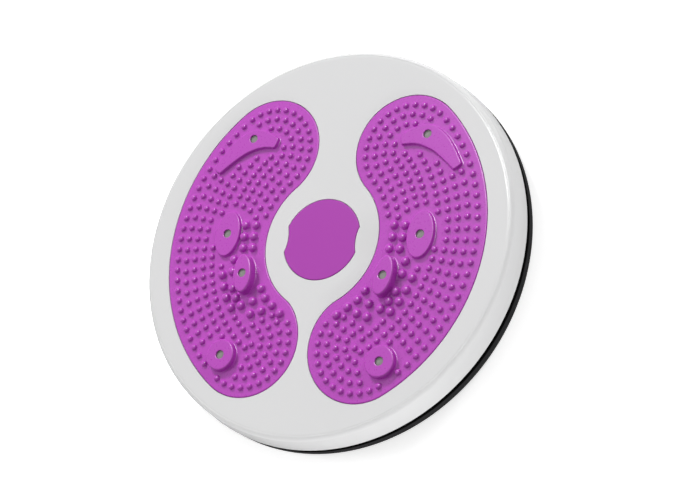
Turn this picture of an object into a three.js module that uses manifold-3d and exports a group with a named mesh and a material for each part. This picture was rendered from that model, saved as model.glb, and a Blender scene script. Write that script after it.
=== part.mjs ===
// A waist-twisting disc: a platform with two massage foot pads turns on a ball ring over a fixed base.
// Millimetres, +Z up. The origin is the centre of the disc on the floor, and the toes point to +Y.
import * as THREE from 'three';
import { mergeVertices } from 'three/addons/utils/BufferGeometryUtils.js';
import Module from 'manifold-3d';

const wasm = await Module();
wasm.setup();

// Driving sizes of the whole disc
const discRadius = 140;
const standHeight = 31;
const runGap = 0.3;
const cutOverrun = 1;
const roundSides = 44;
const smallSides = 16;

// White platform shell
const skirtGap = 2.9;
const skirtFlare = 1.9;
const shoulderRound = 4;
const shoulderSteps = 3;
const skirtWall = 2.4;
const topWall = 3;
const lipRound = 0.5;
const padPocketDepth = 1.8;
const shellRibWall = 2;
const shellRibDepth = 5;
const shellRibs = 8;
const ribShelf = 2.2;

// Dark base
const footDrop = 3.5;
const rimHeight = 6;
const rimWall = 2.5;
const panelWall = 2.6;
const neckInset = 7.5;
const neckWall = 2.5;
const neckClear = 3;
const baseRibs = 9;
const baseRibWall = 2.2;
const baseRibDepth = 2.6;
const rimRound = 1;

// Ball ring between the two
const ballRadius = 4;
const ballTrackInset = 32.5;
const balls = 20;
const ballCentreHeight = 17;
const trackWall = 2.4;
const trackShoulder = 2.3;
const trackHalfWidth = 6.4;
const grooveSteps = 4;
const cageWall = 2;
const cageHalfWidth = 7.5;
const cageHoleSides = 8;
const ballRingSides = 8;
const ballRings = 6;

// Pivot in the middle
const pivotBossRadius = 9;
const bushWall = 2.4;
const bushFlangeRadius = 15.5;
const bushFlangeWall = 1.8;
const hubRadius = 16;
const hubTopClear = 2.4;
const washerRadius = 14;
const washerWall = 1.5;
const screwRadius = 2.4;
const screwHeadRadius = 5.2;
const screwHeadHeight = 2.4;
const screwGrip = 15;
const screwSlotWidth = 1.3;
const screwSlotDepth = 1.4;
const screwPlay = 0.15;
const screwSides = 12;

// Rubber feet
const feet = 6;
const footRadius = 11;
const footInset = 20;
const footSeatDepth = 1.4;
const footRound = 0.8;

// Soft foot pads
const padMargin = 20.4;
const toeLobeAngle = THREE.MathUtils.degToRad(46.6);
const heelLobeAngle = THREE.MathUtils.degToRad(-55.2);
const outlineStep = THREE.MathUtils.degToRad(10);
const padFit = 0.35;
const reliefRound = 0.8;
const toeBarRise = 2.3;
const instepRise = 2.4;
const archRise = 6.2;
const heelRise = 3.8;
const formSides = 20;
const toeBarSteps = 8;

// Large massage nubs around the arch form
const bigNubRadius = 3;
const bigNubHeight = 3.2;
const bigNubSides = 6;
const bigNubRings = 2;

// Small massage nubs, in rows that follow the pad's edge
const nubRadius = 2.2;
const nubHeight = 1.8;
const nubRowPitch = 6.9;
const nubBorder = 6.8;
const nubRows = 9;
const nubStep = THREE.MathUtils.degToRad(4.37);
const borderStep = THREE.MathUtils.degToRad(3.93);
const lobePitchShare = 0.9;
const nubClear = 0.5;
const archClear = 10;
const nubSides = 5;

// Magnets under the raised forms
const magnetRadius = 5;
const magnetThickness = 2;
const magnetWindowRadius = 3;
const magnetSink = 1;
const magnetSides = 12;

// Centre badge
const badgeRadius = 28.6;
const badgeNotchDepth = 2.9;
const badgeNotchRadius = 28;
const badgeThickness = 1.5;
const badgeSteps = 14;
const notchSteps = 4;

// The right pad's outline and the places on it, as shares of its reach from the middle of the disc
const outerShare = 1.0635;
const waistShare = 0.4231;
const centreShiftShare = 0.0635;
const toeLobeShare = 0.3203;
const toeCornerShare = 0.2568;
const heelLobeShare = 0.3222;
const heelCornerShare = 0.2173;
const toeMagnetShare = [0.564, 0.615];
const instepMagnetShare = [0.618, 0.027];
const archMagnetShare = [0.448, -0.220];
const heelMagnetShare = [0.503, -0.697];
const toeBarSpineShare = [
  [0.420, 0.590, 0.036], [0.490, 0.609, 0.054], [0.564, 0.607, 0.066],
  [0.640, 0.567, 0.061], [0.709, 0.500, 0.047], [0.768, 0.430, 0.033],
];
const instepHalfShare = [0.082, 0.138];
const archHalfShare = [0.061, 0.117];
const archTilt = THREE.MathUtils.degToRad(-7);
const heelHalfShare = [0.090, 0.092];
const bigNubShare = [
  [0.444, 0.083], [0.512, 0.083], [0.446, 0.014], [0.508, 0.012], [0.438, -0.053],
  [0.502, -0.055], [0.548, -0.126], [0.542, -0.197], [0.606, -0.219], [0.521, -0.298],
  [0.582, -0.289], [0.487, -0.355], [0.551, -0.355], [0.444, -0.400], [0.508, -0.413],
  [0.332, -0.296], [0.295, -0.351], [0.370, -0.372], [0.240, -0.394], [0.304, -0.428],
  [0.372, -0.447], [0.181, -0.440],
];

// Sizes and heights that follow from those above
const neckRadius = discRadius - neckInset;
const ballTrackRadius = neckRadius - ballTrackInset;
const footRingRadius = discRadius - footInset;
const padReach = discRadius - padMargin;
const padShift = centreShiftShare * padReach;
const padOuterRadius = outerShare * padReach;
const padWaistRadius = waistShare * padReach;
const toeLobeRadius = toeLobeShare * padReach;
const toeCornerRadius = toeCornerShare * padReach;
const heelLobeRadius = heelLobeShare * padReach;
const heelCornerRadius = heelCornerShare * padReach;
const badgeNotchShift = badgeRadius - badgeNotchDepth + badgeNotchRadius;
const shellUnder = standHeight - topWall;
const padFloor = standHeight - padPocketDepth;
const padUnder = padFloor + runGap;
const padTop = standHeight;
const rimTop = footDrop + rimHeight;
const lipHeight = rimTop + skirtGap;
const skirtDrop = standHeight - lipHeight;
const panelUnder = rimTop - panelWall;
const neckTop = shellUnder - neckClear;
const lowerTrackTop = ballCentreHeight - trackShoulder;
const upperTrackTip = ballCentreHeight + trackShoulder;
const grooveRadius = ballRadius + runGap;
const grooveHalf = Math.asin(trackShoulder / grooveRadius);
const cageUnder = lowerTrackTop + runGap;
const hubTop = shellUnder - hubTopClear - bushFlangeWall - runGap;
const bushBore = pivotBossRadius + runGap;
const hubBore = bushBore + bushWall + runGap;
const washerTop = panelUnder - runGap;
const bossEnd = washerTop + runGap;

// Material finishes, one call for each so that every mesh has its own
const finish = {
  shell: () => new THREE.MeshStandardMaterial({ color: 0xe4e4e4, roughness: 0.35, metalness: 0 }),
  pad: () => new THREE.MeshStandardMaterial({ color: 0xb557b4, roughness: 0.5, metalness: 0 }),
  badge: () => new THREE.MeshStandardMaterial({ color: 0xa945a9, roughness: 0.45, metalness: 0 }),
  base: () => new THREE.MeshStandardMaterial({ color: 0x1d1d1f, roughness: 0.5, metalness: 0 }),
  rubber: () => new THREE.MeshStandardMaterial({ color: 0x151515, roughness: 0.9, metalness: 0 }),
  magnet: () => new THREE.MeshStandardMaterial({ color: 0x868c88, roughness: 0.4, metalness: 0.8 }),
  steel: () => new THREE.MeshStandardMaterial({ color: 0xb8babd, roughness: 0.25, metalness: 1 }),
  cage: () => new THREE.MeshStandardMaterial({ color: 0xd8d4c6, roughness: 0.6, metalness: 0 }),
  acetal: () => new THREE.MeshStandardMaterial({ color: 0xefeee8, roughness: 0.45, metalness: 0 }),
};

// Closed solids from three.js geometry, and back again
function solid(geometry) {
  const bare = geometry.clone();
  bare.deleteAttribute('normal');
  bare.deleteAttribute('uv');
  const merged = mergeVertices(bare);
  const index = merged.index.array;
  const triangles = [];
  for (let i = 0; i < index.length; i += 3) {
    const [a, b, c] = [index[i], index[i + 1], index[i + 2]];
    if (a !== b && b !== c && c !== a) triangles.push(a, b, c);
  }
  const mesh = new wasm.Mesh({
    numProp: 3,
    vertProperties: new Float32Array(merged.attributes.position.array),
    triVerts: new Uint32Array(triangles),
  });
  return new wasm.Manifold(mesh);
}

function geometryOf(manifold) {
  const mesh = manifold.getMesh();
  const geometry = new THREE.BufferGeometry();
  geometry.setAttribute('position', new THREE.BufferAttribute(mesh.vertProperties, 3));
  geometry.setIndex(new THREE.BufferAttribute(mesh.triVerts, 1));
  return geometry;
}

// The mirror image across the plane between the feet, with its faces still outward
function mirrored(geometry) {
  const copy = geometry.clone();
  copy.scale(-1, 1, 1);
  const index = copy.index.array;
  for (let i = 0; i < index.length; i += 3) {
    [index[i], index[i + 1]] = [index[i + 1], index[i]];
  }
  return copy;
}

// A ring or disc turned about Z from radius and height pairs, listed anticlockwise in the section
function turned(section, sides) {
  const points = section.map(([r, z]) => new THREE.Vector2(r, z));
  if (section[0][0] > 0) points.push(points[0].clone());
  const geometry = new THREE.LatheGeometry(points, sides);
  geometry.rotateX(Math.PI / 2);
  return solid(geometry);
}

// A plain round column between two heights
function column(radius, low, high, sides, x = 0, y = 0) {
  const geometry = new THREE.CylinderGeometry(radius, radius, high - low, sides);
  geometry.rotateX(Math.PI / 2);
  geometry.translate(x, y, (low + high) / 2);
  return solid(geometry);
}

// A flat outline raised between two heights, with its edges rounded if asked
function raised(outline, low, high, round = 0) {
  const shape = new THREE.Shape(outline);
  const bevel = round > 0;
  const geometry = new THREE.ExtrudeGeometry(shape, {
    depth: high - low - 2 * round,
    bevelEnabled: bevel,
    bevelThickness: round,
    bevelSize: round,
    bevelOffset: -round,
    bevelSegments: 1,
    steps: 1,
  });
  geometry.translate(0, 0, low + round);
  return solid(geometry);
}

// Radial bars between two radii, all round
function spokes(count, wall, inner, outer, low, high) {
  let bars = null;
  for (let i = 0; i < count; i += 1) {
    const geometry = new THREE.BoxGeometry(outer - inner, wall, high - low);
    geometry.translate((inner + outer) / 2, 0, (low + high) / 2);
    geometry.rotateZ((i + 0.5) * 2 * Math.PI / count);
    const bar = solid(geometry);
    bars = bars ? bars.add(bar) : bar;
  }
  return bars;
}

// Section points of an arc, for rounded corners and ball grooves
function arcSection(centreR, centreZ, radius, from, to, steps) {
  const points = [];
  for (let i = 0; i <= steps; i += 1) {
    const angle = from + (to - from) * i / steps;
    points.push([centreR + radius * Math.cos(angle), centreZ + radius * Math.sin(angle)]);
  }
  return points;
}

// The right pad's outline as six tangent arcs, anticlockwise, drawn in by an inset
function padArcs(inset) {
  const reach = (angle, radius) => new THREE.Vector2(
    (padOuterRadius - radius) * Math.cos(angle),
    (padOuterRadius - radius) * Math.sin(angle),
  );
  const corner = (lobe, lobeRadius, radius, side) => {
    const far = padWaistRadius + radius;
    const near = lobeRadius - radius;
    const span = lobe.length();
    const turn = Math.acos((span * span + far * far - near * near) / (2 * span * far));
    const angle = lobe.angle() + side * turn;
    return new THREE.Vector2(far * Math.cos(angle), far * Math.sin(angle));
  };
  const around = (angle) => (angle + 2 * Math.PI) % (2 * Math.PI);
  const toe = reach(toeLobeAngle, toeLobeRadius);
  const heel = reach(heelLobeAngle, heelLobeRadius);
  const toeCorner = corner(toe, toeLobeRadius, toeCornerRadius, 1);
  const heelCorner = corner(heel, heelLobeRadius, heelCornerRadius, -1);
  const toeEnd = around(Math.atan2(toeCorner.y - toe.y, toeCorner.x - toe.x));
  const heelEnd = around(Math.atan2(heelCorner.y - heel.y, heelCorner.x - heel.x));
  const toeWaist = Math.atan2(toeCorner.y, toeCorner.x);
  const heelWaist = Math.atan2(heelCorner.y, heelCorner.x);
  const origin = new THREE.Vector2(0, 0);
  const arc = (centre, radius, from, to) => ({ x: centre.x - padShift, y: centre.y, radius, from, to });
  return [
    arc(origin, padOuterRadius - inset, heelLobeAngle, toeLobeAngle),
    arc(toe, toeLobeRadius - inset, toeLobeAngle, toeEnd),
    arc(toeCorner, toeCornerRadius - inset, toeEnd, Math.PI + toeWaist),
    arc(origin, padWaistRadius + inset, toeWaist, heelWaist),
    arc(heelCorner, heelCornerRadius - inset, Math.PI + heelWaist, heelEnd),
    arc(heel, heelLobeRadius - inset, heelEnd, 2 * Math.PI + heelLobeAngle),
  ];
}

const onArc = (arc, angle) => new THREE.Vector2(
  arc.x + arc.radius * Math.cos(angle),
  arc.y + arc.radius * Math.sin(angle),
);

function padOutline(inset) {
  const points = [];
  for (const arc of padArcs(inset)) {
    const steps = Math.max(3, Math.ceil(Math.abs(arc.to - arc.from) / outlineStep));
    for (let i = 0; i < steps; i += 1) {
      points.push(onArc(arc, arc.from + (arc.to - arc.from) * i / steps));
    }
  }
  return points;
}

const placed = (share) => new THREE.Vector2(share[0] * padReach, share[1] * padReach);

function ellipseOutline(centre, halfShare, tilt, steps) {
  const points = [];
  for (let i = 0; i < steps; i += 1) {
    const angle = 2 * Math.PI * i / steps;
    const point = new THREE.Vector2(
      halfShare[0] * padReach * Math.cos(angle),
      halfShare[1] * padReach * Math.sin(angle),
    );
    points.push(point.rotateAround(new THREE.Vector2(0, 0), tilt).add(centre));
  }
  return points;
}

// The bent toe bar: a smooth spine, widened on both sides by its own half width
function toeBarOutline() {
  const spine = new THREE.CatmullRomCurve3(toeBarSpineShare.map(([x, y, half]) => (
    new THREE.Vector3(x, y, half).multiplyScalar(padReach)
  )));
  const upper = [];
  const lower = [];
  for (let i = 0; i <= toeBarSteps; i += 1) {
    const at = spine.getPoint(i / toeBarSteps);
    const along = spine.getTangent(i / toeBarSteps).setZ(0).normalize();
    upper.push(new THREE.Vector2(at.x - along.y * at.z, at.y + along.x * at.z));
    lower.push(new THREE.Vector2(at.x + along.y * at.z, at.y - along.x * at.z));
  }
  const cap = (at, along, half) => [-0.5, 0, 0.5].map((turn) => {
    const angle = Math.atan2(along.y, along.x) + turn * Math.PI / 1.5;
    return new THREE.Vector2(at.x + half * Math.cos(angle), at.y + half * Math.sin(angle));
  });
  const head = spine.getPoint(0);
  const tail = spine.getPoint(1);
  const headCap = cap(head, spine.getTangent(0).negate(), head.z);
  const tailCap = cap(tail, spine.getTangent(1), tail.z);
  return [...lower, ...tailCap, ...upper.reverse(), ...headCap];
}

// Everything raised on the right pad: where it is, how high, the magnet that it holds, how far nubs keep off
const forms = [
  {
    name: 'toe',
    outline: toeBarOutline(),
    rise: toeBarRise,
    magnet: placed(toeMagnetShare),
    clear: nubClear,
  },
  {
    name: 'instep',
    outline: ellipseOutline(placed(instepMagnetShare), instepHalfShare, 0, formSides),
    rise: instepRise,
    magnet: placed(instepMagnetShare),
    clear: nubClear,
  },
  {
    name: 'arch',
    outline: ellipseOutline(placed(archMagnetShare), archHalfShare, archTilt, formSides),
    rise: archRise,
    magnet: placed(archMagnetShare),
    clear: archClear,
  },
  {
    name: 'heel',
    outline: ellipseOutline(placed(heelMagnetShare), heelHalfShare, 0, formSides),
    rise: heelRise,
    magnet: placed(heelMagnetShare),
    clear: nubClear,
  },
];
for (const form of forms) {
  form.top = padTop + form.rise;
  form.magnetTop = form.top - magnetSink;
  form.magnetUnder = form.magnetTop - magnetThickness;
}

// Shortest way from a point to a closed outline, negative inside it
function outside(point, outline) {
  let nearest = Infinity;
  let inside = false;
  for (let i = 0; i < outline.length; i += 1) {
    const a = outline[i];
    const b = outline[(i + 1) % outline.length];
    const side = b.clone().sub(a);
    const share = THREE.MathUtils.clamp(point.clone().sub(a).dot(side) / side.lengthSq(), 0, 1);
    nearest = Math.min(nearest, point.distanceTo(a.clone().addScaledVector(side, share)));
    const crosses = (a.y > point.y) !== (b.y > point.y);
    if (crosses && point.x < a.x + (b.x - a.x) * (point.y - a.y) / (b.y - a.y)) inside = !inside;
  }
  return inside ? -nearest : nearest;
}

// Small nubs stand in rows that follow the pad's edge, in step with each other along the outer side
function nubPlaces() {
  const edge = padOutline(0);
  const big = bigNubShare.map(placed);
  const places = [];
  const free = (point, inset) => (
    -outside(point, edge) > inset - nubRadius / 4
    && forms.every((form) => outside(point, form.outline) > nubRadius + form.clear)
    && big.every((other) => point.distanceTo(other) > nubRadius + bigNubRadius + nubClear)
    && places.every((other) => point.distanceTo(other) > 2 * nubRadius + nubClear)
  );
  for (let row = 0; row < nubRows; row += 1) {
    const inset = nubBorder + row * nubRowPitch;
    const arcs = padArcs(inset);
    const pitch = (arcs[0].radius - padShift) * (row ? nubStep : borderStep);
    for (const way of [1, -1]) {
      const order = way > 0 ? [0, 1, 2, 3] : [0, 5, 4, 3];
      let left = way > 0 ? 0 : pitch;
      for (const which of order) {
        const arc = arcs[which];
        const from = which === 0 ? 0 : (way > 0 ? arc.from : arc.to);
        const to = way > 0 ? arc.to : arc.from;
        const length = Math.abs(to - from) * Math.max(arc.radius, 0);
        let along = left;
        while (along < length) {
          const point = onArc(arc, from + (to - from) * along / length);
          if (free(point, inset)) places.push(point);
          along += which === 0 ? pitch : lobePitchShare * pitch;
        }
        left = along - length;
      }
    }
  }
  return places;
}

// A rounded nub rooted in the pad
function dome(point, radius, height, sides, rings) {
  const section = [[0, padTop - reliefRound]];
  for (let i = 0; i < rings; i += 1) {
    const angle = Math.PI / 2 * i / rings;
    section.push([radius * Math.cos(angle), padTop + height * Math.sin(angle)]);
  }
  section.splice(1, 0, [radius, padTop - reliefRound]);
  section.push([0, padTop + height]);
  return turned(section, sides).translate(point.x, point.y, 0);
}

function rightPad() {
  let pad = raised(padOutline(0), padUnder, padTop, reliefRound / 2);
  for (const form of forms) {
    pad = pad.add(raised(form.outline, padUnder + runGap, form.top, reliefRound));
  }
  for (const share of bigNubShare) {
    pad = pad.add(dome(placed(share), bigNubRadius, bigNubHeight, bigNubSides, bigNubRings));
  }
  for (const point of nubPlaces()) pad = pad.add(dome(point, nubRadius, nubHeight, nubSides, 1));
  for (const form of forms) {
    const { x, y } = form.magnet;
    const low = padUnder - cutOverrun;
    const roof = form.magnetTop + runGap / 2;
    pad = pad.subtract(column(magnetWindowRadius, low, form.top + cutOverrun, magnetSides, x, y));
    pad = pad.subtract(column(magnetRadius + runGap, low, roof, magnetSides, x, y));
  }
  return geometryOf(pad);
}

// A circle with a shallow notch cut by a larger circle on its left and right
function badgeOutline(grow) {
  const meet = badgeNotchShift ** 2 + badgeRadius ** 2 - badgeNotchRadius ** 2;
  const cornerAngle = Math.acos(meet / (2 * badgeNotchShift * badgeRadius));
  const corner = new THREE.Vector2(badgeRadius * Math.cos(cornerAngle), badgeRadius * Math.sin(cornerAngle));
  const notchHalf = Math.atan2(corner.y, badgeNotchShift - corner.x);
  const points = [];
  for (const side of [0, 1]) {
    for (let i = 0; i < badgeSteps; i += 1) {
      const angle = side * Math.PI + cornerAngle + (Math.PI - 2 * cornerAngle) * i / badgeSteps;
      points.push(new THREE.Vector2(Math.cos(angle), Math.sin(angle)).multiplyScalar(badgeRadius + grow));
    }
    const centre = new THREE.Vector2(badgeNotchShift * (side ? 1 : -1), 0);
    for (let i = 0; i < notchSteps; i += 1) {
      const angle = side * Math.PI + notchHalf - 2 * notchHalf * i / notchSteps;
      points.push(new THREE.Vector2(Math.cos(angle), Math.sin(angle))
        .multiplyScalar(badgeNotchRadius - grow).add(centre));
    }
  }
  return points;
}

// One moulding: flat top, rounded shoulder, flared skirt, and below it the upper ball track, ribs and a boss
function platformShell() {
  const lipOuter = discRadius;
  const shoulderOuter = discRadius - skirtFlare;
  const shoulderInner = shoulderOuter - skirtWall;
  const trackInner = ballTrackRadius - trackHalfWidth;
  const trackOuter = ballTrackRadius + trackHalfWidth;
  const section = [
    [0, shellUnder],
    [trackInner, shellUnder],
    [trackInner, upperTrackTip],
    ...arcSection(ballTrackRadius, ballCentreHeight, grooveRadius, Math.PI - grooveHalf, grooveHalf,
      grooveSteps),
    [trackOuter, upperTrackTip],
    [trackOuter, shellUnder],
    [shoulderInner - skirtWall, shellUnder],
    [shoulderInner, shellUnder - skirtWall],
    [lipOuter - skirtWall, lipHeight],
    [lipOuter - lipRound, lipHeight],
    [lipOuter, lipHeight + lipRound],
    ...arcSection(shoulderOuter - shoulderRound, standHeight - shoulderRound, shoulderRound,
      Math.atan2(skirtFlare, skirtDrop), Math.PI / 2, shoulderSteps),
    [0, standHeight],
  ];
  const ribTop = shellUnder + cutOverrun;
  const ribStart = pivotBossRadius + hubRadius;
  const ribEnd = neckRadius - neckWall - ribShelf;
  const pilotTop = bossEnd + screwGrip + cutOverrun;
  let shell = turned(section, roundSides);
  shell = shell.add(spokes(shellRibs, shellRibWall, ribStart, trackInner + cutOverrun,
    shellUnder - shellRibDepth, ribTop));
  shell = shell.add(spokes(shellRibs, shellRibWall, trackOuter - cutOverrun, ribEnd,
    shellUnder - ribShelf, ribTop));
  shell = shell.add(column(pivotBossRadius, bossEnd, ribTop, smallSides));
  shell = shell.subtract(column(screwRadius + screwPlay, bossEnd - cutOverrun, pilotTop, screwSides));
  const pocket = raised(padOutline(-padFit), padFloor, standHeight + cutOverrun);
  shell = shell.subtract(pocket).subtract(solid(mirrored(geometryOf(pocket))));
  shell = shell.subtract(raised(badgeOutline(padFit), padFloor, standHeight + cutOverrun));
  const seatRoot = (shellUnder + padFloor) / 2;
  for (const form of forms) {
    for (const side of [1, -1]) {
      const seat = form.magnetUnder - runGap;
      const { x, y } = form.magnet;
      if (seat > padFloor) {
        shell = shell.add(column(magnetRadius - runGap, seatRoot, seat, magnetSides, side * x, y));
      }
    }
  }
  return geometryOf(shell);
}

// One moulding: a ribbed panel with its rim, the neck inside the skirt, the lower ball track and the hub
function basePlate() {
  const neckInner = neckRadius - neckWall;
  const trackInner = ballTrackRadius - trackHalfWidth;
  const trackOuter = ballTrackRadius + trackHalfWidth;
  const channelTop = ballCentreHeight - grooveRadius - trackWall;
  const section = [
    [hubBore, panelUnder],
    [trackInner + trackWall, panelUnder],
    [trackInner + trackWall, channelTop],
    [trackOuter - trackWall, channelTop],
    [trackOuter - trackWall, panelUnder],
    [discRadius - rimWall, panelUnder],
    [discRadius - rimWall, footDrop],
    [discRadius - rimRound, footDrop],
    [discRadius, footDrop + rimRound],
    [discRadius, rimTop - rimRound],
    [discRadius - rimRound, rimTop],
    [neckRadius, rimTop],
    [neckRadius, neckTop],
    [neckInner, neckTop],
    [neckInner, rimTop],
    [trackOuter, rimTop],
    [trackOuter, lowerTrackTop],
    ...arcSection(ballTrackRadius, ballCentreHeight, grooveRadius, -grooveHalf, grooveHalf - Math.PI,
      grooveSteps),
    [trackInner, lowerTrackTop],
    [trackInner, rimTop],
    [hubRadius, rimTop],
    [hubRadius, hubTop],
    [hubBore, hubTop],
  ];
  let base = turned(section, roundSides);
  const ribUnder = panelUnder - baseRibDepth;
  base = base.add(spokes(baseRibs, baseRibWall, washerRadius + baseRibDepth, discRadius - rimWall + rimRound,
    ribUnder, panelUnder + rimRound));
  for (const [x, y] of footPlaces()) {
    base = base.add(column(footRadius + baseRibWall, footDrop, panelUnder + rimRound, smallSides, x, y));
    base = base.subtract(column(footRadius + runGap, footDrop - cutOverrun, footDrop + footSeatDepth,
      smallSides, x, y));
  }
  return geometryOf(base);
}

function footPlaces() {
  const places = [];
  for (let i = 0; i < feet; i += 1) {
    const angle = 2 * Math.PI * i / feet;
    places.push([footRingRadius * Math.cos(angle), footRingRadius * Math.sin(angle)]);
  }
  return places;
}

function rubberFoot() {
  const top = footDrop + footSeatDepth - runGap;
  return geometryOf(turned([
    [0, 0],
    [footRadius - footRound, 0],
    [footRadius, footRound],
    [footRadius, top],
    [0, top],
  ], smallSides));
}

// A flanged sleeve between the base's hub and the platform's boss
function pivotBush() {
  const outer = bushBore + bushWall;
  const flangeUnder = hubTop + runGap;
  return geometryOf(turned([
    [bushBore, panelUnder],
    [outer, panelUnder],
    [outer, flangeUnder],
    [bushFlangeRadius, flangeUnder],
    [bushFlangeRadius, flangeUnder + bushFlangeWall],
    [bushBore, flangeUnder + bushFlangeWall],
  ], smallSides));
}

function retainingWasher() {
  const bore = screwRadius + runGap;
  return geometryOf(turned([
    [bore, washerTop - washerWall],
    [washerRadius, washerTop - washerWall],
    [washerRadius, washerTop],
    [bore, washerTop],
  ], smallSides));
}

// Pan-head screw with a cross slot, driven up into the platform's boss
function pivotScrew() {
  const headTop = washerTop - washerWall - runGap;
  const headUnder = headTop - screwHeadHeight;
  let screw = turned([
    [0, headUnder],
    [screwHeadRadius / 2, headUnder],
    [screwHeadRadius, headUnder + screwHeadHeight / 2],
    [screwHeadRadius, headTop],
    [screwRadius, headTop],
    [screwRadius, bossEnd + screwGrip - screwRadius],
    [0, bossEnd + screwGrip],
  ], screwSides);
  for (const turn of [0, Math.PI / 2]) {
    const slot = new THREE.BoxGeometry(screwHeadRadius, screwSlotWidth, 2 * screwSlotDepth);
    slot.rotateZ(turn);
    slot.translate(0, 0, headUnder);
    screw = screw.subtract(solid(slot));
  }
  return geometryOf(screw);
}

function ballPlaces() {
  const places = [];
  for (let i = 0; i < balls; i += 1) {
    const angle = 2 * Math.PI * (i + 0.5) / balls;
    places.push([ballTrackRadius * Math.cos(angle), ballTrackRadius * Math.sin(angle)]);
  }
  return places;
}

function ballCage() {
  let cage = turned([
    [ballTrackRadius - cageHalfWidth, cageUnder],
    [ballTrackRadius + cageHalfWidth, cageUnder],
    [ballTrackRadius + cageHalfWidth, cageUnder + cageWall],
    [ballTrackRadius - cageHalfWidth, cageUnder + cageWall],
  ], 2 * balls);
  const low = cageUnder - cutOverrun;
  const high = cageUnder + cageWall + cutOverrun;
  for (const [x, y] of ballPlaces()) {
    cage = cage.subtract(column(ballRadius + runGap, low, high, cageHoleSides, x, y));
  }
  return geometryOf(cage);
}

function magnet() {
  const geometry = new THREE.CylinderGeometry(magnetRadius, magnetRadius, magnetThickness, magnetSides);
  geometry.rotateX(Math.PI / 2);
  return geometry;
}

function centreBadge() {
  const low = padFloor + runGap;
  return geometryOf(raised(badgeOutline(0), low, low + badgeThickness, reliefRound / 2));
}

// The assembly
const disc = new THREE.Group();

function place(name, geometry, material, x = 0, y = 0, z = 0) {
  const mesh = new THREE.Mesh(geometry, material);
  mesh.name = name;
  mesh.position.set(x, y, z);
  disc.add(mesh);
}

place('base_plate', basePlate(), finish.base());
place('pivot_bush', pivotBush(), finish.acetal());
footPlaces().forEach(([x, y], i) => place(`foot_${i + 1}`, rubberFoot(), finish.rubber(), x, y));

place('ball_cage', ballCage(), finish.cage());
ballPlaces().forEach(([x, y], i) => {
  const ball = new THREE.SphereGeometry(ballRadius, ballRingSides, ballRings);
  place(`ball_${String(i + 1).padStart(2, '0')}`, ball, finish.steel(), x, y, ballCentreHeight);
});

place('platform_shell', platformShell(), finish.shell());
const padGeometry = rightPad();
place('right_foot_pad', padGeometry, finish.pad());
place('left_foot_pad', mirrored(padGeometry), finish.pad());
place('centre_badge', centreBadge(), finish.badge());
for (const [side, sign] of [['right', 1], ['left', -1]]) {
  for (const form of forms) {
    const { x, y } = form.magnet;
    const middle = form.magnetUnder + magnetThickness / 2;
    place(`${side}_${form.name}_magnet`, magnet(), finish.magnet(), sign * x, y, middle);
  }
}
place('retaining_washer', retainingWasher(), finish.steel());
place('pivot_screw', pivotScrew(), finish.steel());

export default disc;
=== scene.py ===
import math
import bmesh
import bpy
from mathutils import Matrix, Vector


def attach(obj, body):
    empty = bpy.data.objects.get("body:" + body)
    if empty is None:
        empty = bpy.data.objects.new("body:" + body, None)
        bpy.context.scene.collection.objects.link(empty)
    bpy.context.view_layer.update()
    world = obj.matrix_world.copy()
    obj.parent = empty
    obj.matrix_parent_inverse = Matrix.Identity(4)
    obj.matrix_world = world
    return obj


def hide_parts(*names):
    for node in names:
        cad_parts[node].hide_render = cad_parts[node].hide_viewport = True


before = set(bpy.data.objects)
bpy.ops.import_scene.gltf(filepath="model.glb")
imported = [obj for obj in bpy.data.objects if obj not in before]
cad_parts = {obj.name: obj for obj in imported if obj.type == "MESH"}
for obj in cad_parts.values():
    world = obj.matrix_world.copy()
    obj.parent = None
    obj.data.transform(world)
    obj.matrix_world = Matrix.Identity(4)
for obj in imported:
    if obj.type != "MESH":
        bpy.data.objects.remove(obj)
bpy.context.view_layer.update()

# Base plate

# The dark part that stays still on the floor: one black polypropylene moulding with a rim, a ribbed panel,
# a neck inside the platform's skirt, the lower ball track and the hub of the pivot. Its face has a fine
# spark-eroded grain from the mould. Painted shade turns the rim's top, and every face above it, nearly black
# where the skirt hangs close over it.
MM = 0.001
disc_radius = 140.0
foot_drop = 3.5
rim_foot = 3.0
rim_top = 9.5
rim_wall = 2.5
panel_under = 6.9
neck_radius = 132.5
neck_top = 25.0
neck_wall = 2.5
track_radius = 100.0
track_half = 6.4
track_shoulder = 2.3
track_wall = 2.4
track_floor = 10.3
ball_height = 17.0
groove_radius = 4.3
hub_radius = 16.0
hub_bore = 12.0
hub_top = 23.5
base_ribs = 9
base_rib_wall = 2.2
base_rib_under = 4.3
rib_root = 0.5
feet = 6
foot_ring = 120.0
foot_radius = 11.0
foot_seat = 4.9
seat_bore = foot_radius + 0.3
seat_edge = foot_radius + 2.2
base_sides = 176


def rounded(corners, closed=True, steps=4):
    """Points of an outline whose corners are given as x, y and the radius that rounds each of them."""
    points = []
    for k, (x, y, radius) in enumerate(corners):
        here = Vector((x, y))
        if radius <= 0 or (not closed and k in (0, len(corners) - 1)):
            points.append(here)
            continue
        before = Vector(corners[k - 1][:2]) - here
        after = Vector(corners[(k + 1) % len(corners)][:2]) - here
        half = before.angle(after) / 2
        reach = min(radius / math.tan(half), before.length * 0.48, after.length * 0.48)
        before.normalize()
        after.normalize()
        centre = here + (before + after).normalized() * reach / math.cos(half)
        start = here + before * reach - centre
        end = here + after * reach - centre
        total = math.pi - 2 * half
        for i in range(steps + 1):
            part = i / steps
            points.append(centre + start * math.sin((1 - part) * total) / math.sin(total)
                          + end * math.sin(part * total) / math.sin(total))
    return points


def ring_of(bm, points, height):
    """A closed ring of vertices from points in millimetres, all at one height."""
    return [bm.verts.new((x * MM, y * MM, height * MM)) for x, y in points]


def circle(radius, sides, x=0.0, y=0.0):
    """Points of a circle, anticlockwise from its right."""
    turns = [2 * math.pi * i / sides for i in range(sides)]
    return [(x + radius * math.cos(a), y + radius * math.sin(a)) for a in turns]


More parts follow.
